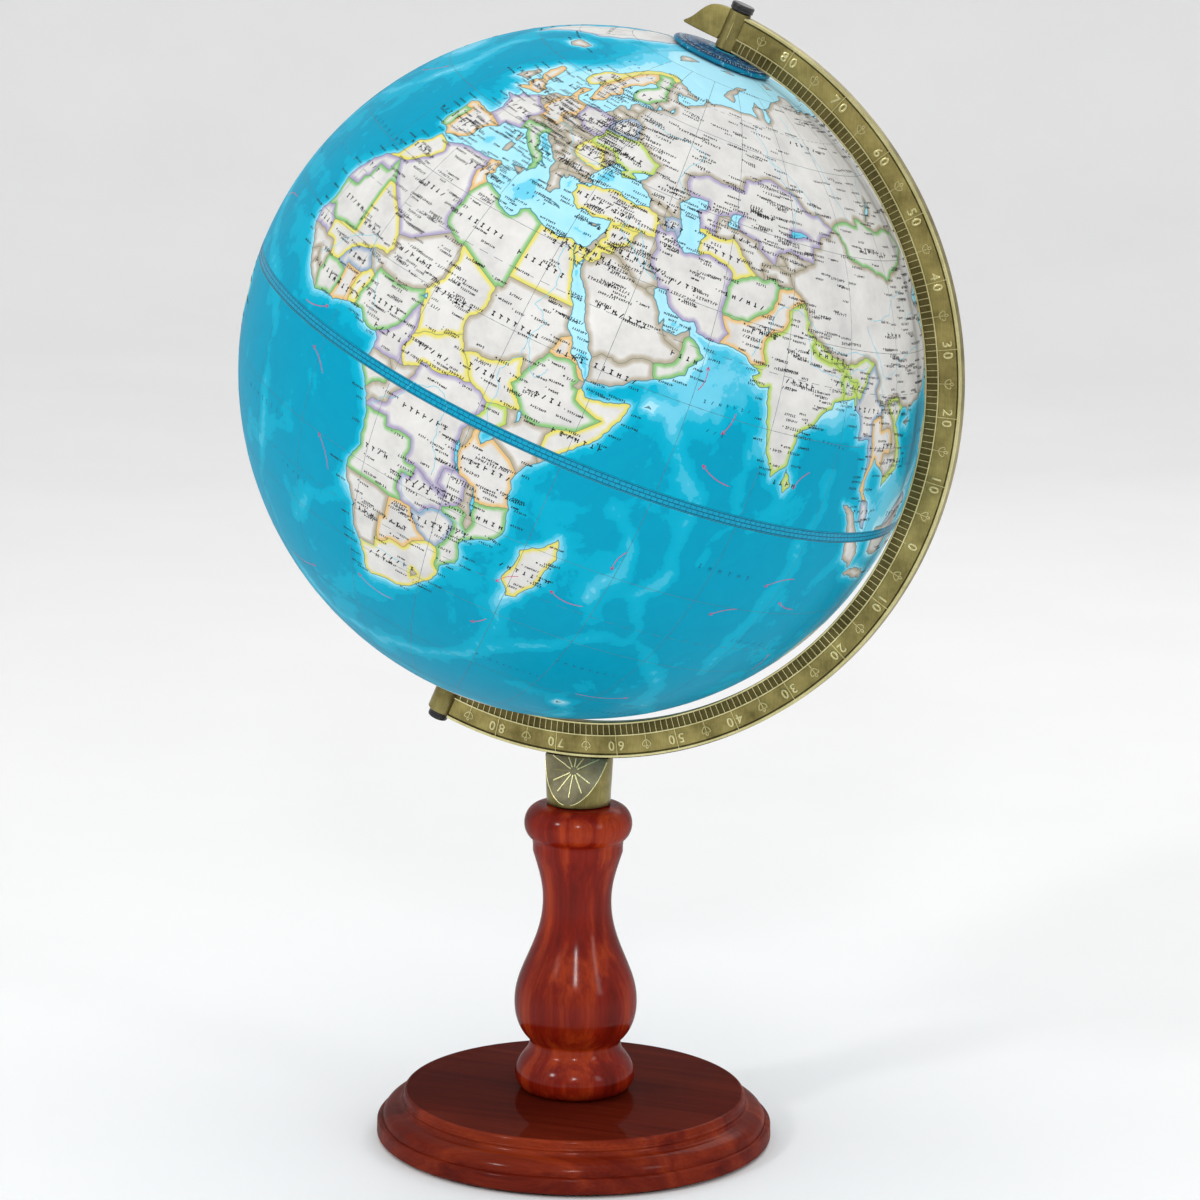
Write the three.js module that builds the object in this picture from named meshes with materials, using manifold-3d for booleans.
// A 12 inch (304.8 mm) desktop globe on a turned wooden stand, with a half-ring meridian of cast brass.
//
// Millimetres, +Z up. The origin is the centre of the underside of the felt pad, on the axis of the column.
// The meridian lies in the XZ plane and bulges towards +X, and the north pole leans towards +X.
// Every piece of the stand is a turned or cut solid around the column's axis. The ball, the meridian, the pins,
// the caps and the hour dial are modelled in the globe's own frame: its origin is the centre of the ball and
// its +Z is the north end of the axis. That frame is then tilted and lifted as one group.

import * as THREE from "three";
import { mergeVertices } from "three/addons/utils/BufferGeometryUtils.js";
import Module from "manifold-3d";

const wasm = await Module();
wasm.setup();

// ---------------------------------------------------------------- driving dimensions

const GAP = 0.3; // between two pieces that touch

// the ball
const BALL_R = 152.4; // 12 inch globe
const BALL_Z = 349.3; // height of its centre
const AXIS_TILT = THREE.MathUtils.degToRad(23.5); // the axis leans by the tilt of the Earth's own
const SHELL = 2.4; // wall of each half
const POLE_HOLE_R = 4.5; // hole in each half at its pole
const TAPE_HALF_WIDTH = 2.3;
const TAPE_THICKNESS = 0.6;
const RING_HALF_WIDTH = 9; // the lap ring inside the seam
const RING_THICKNESS = 2;
const OUTER_FLATS = 11; // flats from seam to pole on the outside of each half
const INNER_FLATS = 6; // and on its inside
const FLAT_DIP = (BALL_R - SHELL) * (1 - Math.cos(Math.PI / 4 / INNER_FLATS)); // how far those flats cut inwards

// the pivots
const PIN_R = 2;
const PIN_HOLE_R = PIN_R + GAP; // in everything that the pins pass through
const PIN_INNER = 144; // distance of each pin's inner end from the ball's centre
const FERRULE_R = 4.2;
const FERRULE_FLANGE_R = 9;
const WASHER_R = 4.6;
const CAP_HOLE_DEPTH = 1.8;

// the meridian
const ARM_INNER_R = 156;
const ARM_OUTER_R = 172.2;
const ARM_THICKNESS = 6;
const ARM_ENDS = [-88.3, 89]; // latitudes where the half ring ends, inside its hubs
const ARM_FLATS = 60; // flats along the half ring
const TOP_HUB = { r: 4.8, inner: 155.7, outer: 173.3 }; // distances along the axis from the ball's centre
const LOW_HUB = { r: 5.9, inner: 154.7, outer: 171.1 };
const TOP_CAP = { r: 5.1, height: 3.2 };
const LOW_CAP = { r: 4.6, height: 3.6 };
const TAB_WIDTH = 12;
const TAB_THICKNESS = 4.4;
const TAB_REACH = 12; // how far the tab goes down into the holder

// the holder between the column and the meridian
const HOLDER_TOP_R = 15.6;
const HOLDER_LOW_R = 14.4;
const FACET_LOW_Z = 157; // the slanted faces start here, on the outside of the holder ...
const FACET_HIGH_Y = 3.4; // ... and end this far from its middle, under the meridian

// the column and the base
const BASE_BOTTOM = 1.5;
const BASE_TOP = 22;
const BASE_R = 90;
const COLUMN_TOP = 155;
const FELT_R = 86;
const FELT_THICKNESS = BASE_BOTTOM - GAP;

// the tie rod that pulls base, column and holder together
const ROD_R = 3; // M6
const ROD_BORE_R = 4; // in the wood
const ROD_BOTTOM = 2.8;
const ROD_TOP = 162.5;
const COUNTERBORE_R = 13;
const COUNTERBORE_TOP = 11;
const TIE_WASHER = { r: 9, thickness: 1.6 };
const NUT = { acrossFlats: 10, height: 5 };
const GRUB_R = 2; // M4 set screw that locks the tab in the holder
const GRUB_Z = 169.5;

// facets round each kind of turned piece
const ROUND = { ball: 44, base: 48, column: 32, dial: 32, small: 16 };

// ---------------------------------------------------------------- geometry helpers

// A turned solid about Z from [radius, height] points that start and end on the axis, or close on themselves.
function turned(points, segments) {
  const profile = points.map(([r, z]) => new THREE.Vector2(r, z));
  return new THREE.LatheGeometry(profile, segments).rotateX(Math.PI / 2);
}

// A tube about Z, from the inner to the outer radius and between two heights.
function ring(inner, outer, low, high, segments) {
  return turned([[inner, low], [outer, low], [outer, high], [inner, high], [inner, low]], segments);
}

function rod(radius, low, high, segments) {
  return new THREE.CylinderGeometry(radius, radius, high - low, segments)
    .rotateX(Math.PI / 2)
    .translate(0, 0, (low + high) / 2);
}

// Points on an ellipse in the [radius, height] plane, angles in degrees from the +radius direction.
function arc(centreR, centreZ, a, b, from, to, steps) {
  return Array.from({ length: steps + 1 }, (_, i) => {
    const angle = THREE.MathUtils.degToRad(from + ((to - from) * i) / steps);
    return [centreR + a * Math.cos(angle), centreZ + b * Math.sin(angle)];
  });
}

// Points on a cubic curve through two ends, shaped by two handles; the first point is left to the caller.
function sweep(start, handle1, handle2, end, steps) {
  const curve = new THREE.CubicBezierCurve(...[start, handle1, handle2, end].map((p) => new THREE.Vector2(...p)));
  return curve.getPoints(steps).slice(1).map((p) => [p.x, p.y]);
}

// A flat outline in the XZ plane, given as [x, z] points, thickened evenly to both sides of y = 0.
function plate(points, thickness) {
  const shape = new THREE.Shape(points.map(([x, z]) => new THREE.Vector2(x, z)));
  return new THREE.ExtrudeGeometry(shape, { depth: thickness, bevelEnabled: false })
    .translate(0, 0, -thickness / 2)
    .rotateX(Math.PI / 2);
}

// ---------------------------------------------------------------- joining and cutting

function solid(geometry) {
  const bare = geometry.clone();
  bare.deleteAttribute("normal");
  bare.deleteAttribute("uv");
  const merged = mergeVertices(bare, 1e-4);
  const made = new wasm.Manifold(
    new wasm.Mesh({
      numProp: 3,
      vertProperties: new Float32Array(merged.attributes.position.array),
      triVerts: new Uint32Array(merged.index.array),
    }),
  );
  if (made.volume() < 0) throw new Error("a profile runs the wrong way round");
  return made;
}

function geometryOf(made) {
  const mesh = made.getMesh();
  const geometry = new THREE.BufferGeometry();
  geometry.setAttribute("position", new THREE.BufferAttribute(new Float32Array(mesh.vertProperties), 3));
  geometry.setIndex(new THREE.BufferAttribute(new Uint32Array(mesh.triVerts), 1));
  geometry.computeVertexNormals();
  return geometry;
}

function cut(body, ...tools) {
  return geometryOf(tools.reduce((left, tool) => left.subtract(solid(tool)), solid(body)));
}

// ---------------------------------------------------------------- materials

const finish = (color, roughness, metalness = 0) => new THREE.MeshStandardMaterial({ color, roughness, metalness });
const cherry = finish(0x7a2412, 0.25);
const antiqueBrass = finish(0x9a8c50, 0.4, 0.9);
const steel = finish(0x9a9a98, 0.35, 1);
const blackPlastic = finish(0x0c0c0c, 0.3);
const nylon = finish(0xdedbd0, 0.5);
const mapPaper = finish(0x2aa9cf, 0.3);
const tapeFilm = finish(0x2f8fc0, 0.35);
const board = finish(0x9b8a6c, 0.9);
const dialPlastic = finish(0x0d3f7a, 0.25);
const felt = finish(0x14361f, 1);

function piece(name, geometry, material, parent) {
  const mesh = new THREE.Mesh(geometry, material);
  mesh.name = name;
  parent.add(mesh);
  return mesh;
}

const globeStand = new THREE.Group();
const tilted = new THREE.Group();
tilted.position.z = BALL_Z;
tilted.rotation.y = AXIS_TILT;
globeStand.add(tilted);

// ---------------------------------------------------------------- base, column and tie rod

// Flat top with a rounded edge and a small step, an ogee down to a ledge, and an upright band at the foot.
function baseDisc() {
  const ledge = 8.8;
  const outline = [
    [0, BASE_BOTTOM],
    [BASE_R - 1.2, BASE_BOTTOM],
    [BASE_R, BASE_BOTTOM + 1.1],
    [BASE_R - 0.1, ledge - 1.1],
    [BASE_R - 1, ledge],
    [BASE_R - 2.4, ledge + 0.2],
    ...sweep([BASE_R - 2.7, ledge + 1], [BASE_R - 4.2, ledge + 4.4], [BASE_R - 6.8, ledge + 5.4], [80.6, 15.6], 5),
    ...sweep([80.6, 15.6], [79.4, 16.6], [78.4, 17.6], [78.2, 18.6], 2),
    [77.7, 19.4],
    ...arc(76.2, BASE_TOP - 1.4, 1.5, 1.4, 0, 90, 3),
    [0, BASE_TOP],
  ];
  return cut(
    turned(outline, ROUND.base),
    rod(COUNTERBORE_R, 0, COUNTERBORE_TOP, ROUND.small + 12),
    rod(ROD_BORE_R, 0, BASE_TOP + 1, ROUND.small),
  );
}

// Heights above the base: a bead, a pinched neck, the belly, the long neck, a ledge and the top bead.
function columnTurning() {
  const low = BASE_TOP + GAP;
  const up = (z) => low + z;
  const outline = [
    [0, low],
    ...arc(21, up(7.4), 6.3, 7.4, -90, 0, 4),
    ...sweep([27.3, up(7.4)], [27.3, up(12)], [24.2, up(15.4)], [22, up(18.2)], 4),
    [21.1, up(20)],
    [20.6, up(22.4)],
    [20.9, up(23.6)],
    ...sweep([20.9, up(23.6)], [23.6, up(26)], [28.4, up(31.5)], [27.8, up(43)], 5),
    ...sweep([27.8, up(43)], [27.2, up(57)], [16.4, up(68)], [15.6, up(86)], 7),
    ...sweep([15.6, up(86)], [15.2, up(95)], [17.2, up(101)], [20, up(110)], 4),
    [20.4, up(114.4)],
    ...arc(16.9, COLUMN_TOP - 8.7, 7.5, 8.7, -60, 90, 8),
    [0, COLUMN_TOP],
  ];
  return cut(turned(outline, ROUND.column), rod(ROD_BORE_R, 0, COLUMN_TOP + 1, ROUND.small));
}

piece("felt_pad", rod(FELT_R, 0, FELT_THICKNESS, ROUND.base), felt, globeStand);
piece("base_disc", baseDisc(), cherry, globeStand);
piece("column", columnTurning(), cherry, globeStand);
piece("tie_rod", rod(ROD_R, ROD_BOTTOM, ROD_TOP, ROUND.small), steel, globeStand);

const washerTop = COUNTERBORE_TOP - GAP;
const washerLow = washerTop - TIE_WASHER.thickness;
piece(
  "tie_rod_washer",
  ring(ROD_R + GAP, TIE_WASHER.r, washerLow, washerTop, ROUND.small),
  steel,
  globeStand,
);
const nutTop = washerLow - GAP;
piece(
  "tie_rod_nut",
  cut(
    rod(NUT.acrossFlats / Math.sqrt(3), nutTop - NUT.height, nutTop, 6),
    rod(ROD_R + GAP, 0, nutTop + 1, ROUND.small),
  ),
  steel,
  globeStand,
);

// ---------------------------------------------------------------- holder and set screw

// A tapered round block whose front and back are cut away by slanted faces, with a saddle for the meridian's
// rim, a pocket for its tab, a bore for the tie rod and a threaded cross hole at the back for the set screw.
function holder() {
  const low = COLUMN_TOP + GAP;
  const high = BALL_Z - ARM_OUTER_R + 3;
  const block = turned([[0, low], [HOLDER_LOW_R, low], [HOLDER_TOP_R, high], [0, high]], ROUND.column);
  const ridgeZ = BALL_Z - ARM_OUTER_R;
  const slope = (HOLDER_LOW_R - FACET_HIGH_Y) / (ridgeZ - FACET_LOW_Z);
  const past = 12; // how far each cutting wedge runs past the block
  const wedge = (side) => {
    const outline = [
      [-(HOLDER_LOW_R + past * slope), FACET_LOW_Z - past],
      [-(FACET_HIGH_Y - past * slope), ridgeZ + past],
      [-3 * HOLDER_TOP_R, ridgeZ + past],
      [-3 * HOLDER_TOP_R, FACET_LOW_Z - past],
    ];
    return plate(outline, 4 * HOLDER_TOP_R).rotateZ(side * (Math.PI / 2));
  };
  const saddle = new THREE.CylinderGeometry(ARM_OUTER_R + GAP, ARM_OUTER_R + GAP, 4 * HOLDER_TOP_R, 240);
  saddle.translate(0, 0, BALL_Z);
  const pocket = new THREE.BoxGeometry(TAB_WIDTH + 2 * GAP, TAB_THICKNESS + 2 * GAP, 2 * (TAB_REACH + GAP));
  pocket.translate(0, 0, ridgeZ);
  const crossHole = rod(GRUB_R + GAP, 0, 2 * HOLDER_TOP_R, ROUND.small).rotateX(-Math.PI / 2).translate(0, 0, GRUB_Z);
  return cut(
    block,
    wedge(1),
    wedge(-1),
    saddle,
    pocket,
    rod(ROD_R + GAP, 0, ROD_TOP + 1, ROUND.small),
    crossHole,
  );
}
piece("arm_holder", holder(), antiqueBrass, globeStand);

const grubLow = TAB_THICKNESS / 2 + GAP;
piece(
  "tab_set_screw",
  rod(GRUB_R, grubLow, grubLow + 4.5, ROUND.small).rotateX(-Math.PI / 2).translate(0, 0, GRUB_Z),
  steel,
  globeStand,
);

// ---------------------------------------------------------------- meridian

// The half ring from pole to pole, the two hubs on the axis, the pointed leaf beyond the north hub and the tab
// that goes down into the holder.
function meridian() {
  const at = (radius, latitude) => {
    const angle = THREE.MathUtils.degToRad(latitude);
    return [radius * Math.cos(angle), radius * Math.sin(angle)];
  };
  const latitudes = Array.from({ length: ARM_FLATS + 1 }, (_, i) => THREE.MathUtils.lerp(...ARM_ENDS, i / ARM_FLATS));
  const halfRing = plate(
    [...latitudes.map((l) => at(ARM_OUTER_R, l)), ...latitudes.toReversed().map((l) => at(ARM_INNER_R, l))],
    ARM_THICKNESS,
  );
  const leaf = plate(
    [
      [0, 158.8],
      [-12, 158.7],
      [-21.2, 159],
      [-19.4, 162.2],
      [-16.6, 166.4],
      [-13.6, 170.4],
      [-10.6, 172.1],
      [-7, 172.6],
      [0, 173],
    ],
    ARM_THICKNESS - 1.6,
  );
  const topHub = rod(TOP_HUB.r, TOP_HUB.inner, TOP_HUB.outer, ROUND.small + 8);
  const lowHub = rod(LOW_HUB.r, -LOW_HUB.outer, -LOW_HUB.inner, ROUND.small + 8);
  const tabRoot = 4; // how far the tab's box starts inside the ring
  const tab = new THREE.BoxGeometry(TAB_WIDTH, TAB_THICKNESS, TAB_REACH + tabRoot);
  tab.translate(0, 0, -(ARM_OUTER_R + (TAB_REACH - tabRoot) / 2)).rotateY(-AXIS_TILT);
  const bore = rod(PIN_HOLE_R, -ARM_OUTER_R - 10, ARM_OUTER_R + 10, ROUND.small);
  const whole = solid(halfRing).add(solid(leaf)).add(solid(topHub)).add(solid(lowHub)).add(solid(tab));
  return geometryOf(whole.subtract(solid(bore)));
}
piece("meridian_arm", meridian(), antiqueBrass, tilted);

// ---------------------------------------------------------------- pins and caps

// side is +1 for the north end of the axis and -1 for the south end.
function pivotEnd(side, hub, cap, pinName, capName) {
  const turn = (geometry) => (side > 0 ? geometry : geometry.rotateX(Math.PI));
  const capLow = hub.outer + GAP;
  const pinEnd = capLow + CAP_HOLE_DEPTH - GAP;
  piece(pinName, turn(rod(PIN_R, PIN_INNER, pinEnd, ROUND.small)), steel, tilted);
  const dome = turned(
    [
      [PIN_HOLE_R, capLow],
      [cap.r, capLow],
      [cap.r, capLow + cap.height - 0.9],
      [cap.r - 0.9, capLow + cap.height],
      [0, capLow + cap.height],
      [0, capLow + CAP_HOLE_DEPTH],
      [PIN_HOLE_R, capLow + CAP_HOLE_DEPTH],
      [PIN_HOLE_R, capLow],
    ],
    ROUND.small + 4,
  );
  piece(capName, turn(dome), blackPlastic, tilted);
}
pivotEnd(1, TOP_HUB, TOP_CAP, "top_pivot_pin", "top_pin_cap");
pivotEnd(-1, LOW_HUB, LOW_CAP, "bottom_pivot_pin", "bottom_pin_cap");

// ---------------------------------------------------------------- hour dial and washers

// A shallow dish that follows the ball under it, with a rounded rim.
const dialOutline = [
  [PIN_HOLE_R, 153.7],
  [8, 153.5],
  [15, 152.7],
  [21.2, 151.5],
  [22.2, 151.9],
  [22.5, 152.7],
  [22, 153.5],
  [20.6, 154],
  [13, 155],
  [PIN_HOLE_R, 155.4],
  [PIN_HOLE_R, 153.7],
];
piece("hour_dial", turned(dialOutline, ROUND.dial), dialPlastic, tilted);
piece("dial_washer", ring(PIN_HOLE_R, WASHER_R, BALL_R + 0.45, 153.4, ROUND.small), nylon, tilted);
piece("thrust_washer", ring(PIN_HOLE_R, WASHER_R, -LOW_HUB.inner + GAP, -(BALL_R + 0.45), ROUND.small), nylon, tilted);

// ---------------------------------------------------------------- ball

// One half, north for side = +1: a domed shell with a hole at the pole and a rebate for half of the tape.
function half(side) {
  const seam = GAP / 2;
  const rebateR = BALL_R - TAPE_THICKNESS - GAP;
  const rebateZ = TAPE_HALF_WIDTH + GAP;
  const innerR = BALL_R - SHELL;
  const poleAngle = (radius) => THREE.MathUtils.radToDeg(Math.acos(POLE_HOLE_R / radius));
  const edgeAngle = THREE.MathUtils.radToDeg(Math.asin(rebateZ / BALL_R));
  const outer = arc(0, 0, BALL_R, BALL_R, edgeAngle, poleAngle(BALL_R), OUTER_FLATS);
  const inner = arc(0, 0, innerR, innerR, poleAngle(innerR), 0.1, INNER_FLATS);
  const outline = [[rebateR, seam], [rebateR, rebateZ], ...outer, ...inner, [rebateR, seam]];
  const geometry = turned(outline, ROUND.ball);
  return side > 0 ? geometry : geometry.rotateX(Math.PI);
}
piece("north_hemisphere", half(1), mapPaper, tilted);
piece("south_hemisphere", half(-1), mapPaper, tilted);
piece(
  "equator_tape",
  ring(BALL_R - TAPE_THICKNESS, BALL_R, -TAPE_HALF_WIDTH, TAPE_HALF_WIDTH, ROUND.ball),
  tapeFilm,
  tilted,
);
const ringOuter = BALL_R - SHELL - FLAT_DIP - 2 * GAP;
piece(
  "joining_ring",
  ring(ringOuter - RING_THICKNESS, ringOuter, -RING_HALF_WIDTH, RING_HALF_WIDTH, ROUND.ball),
  board,
  tilted,
);

// A flanged bush in each pole: the flange lies inside the shell and the tube comes up through its hole.
function ferrule(side) {
  const flangeTop = BALL_R - SHELL - FLAT_DIP - GAP;
  const outline = [
    [PIN_HOLE_R, flangeTop - 2],
    [FERRULE_FLANGE_R, flangeTop - 2],
    [FERRULE_FLANGE_R, flangeTop],
    [FERRULE_R, flangeTop],
    [FERRULE_R, BALL_R + 0.1],
    [PIN_HOLE_R, BALL_R + 0.1],
    [PIN_HOLE_R, flangeTop - 2],
  ];
  const geometry = turned(outline, ROUND.small);
  return side > 0 ? geometry : geometry.rotateX(Math.PI);
}
piece("north_ferrule", ferrule(1), steel, tilted);
piece("south_ferrule", ferrule(-1), steel, tilted);

export default globeStand;
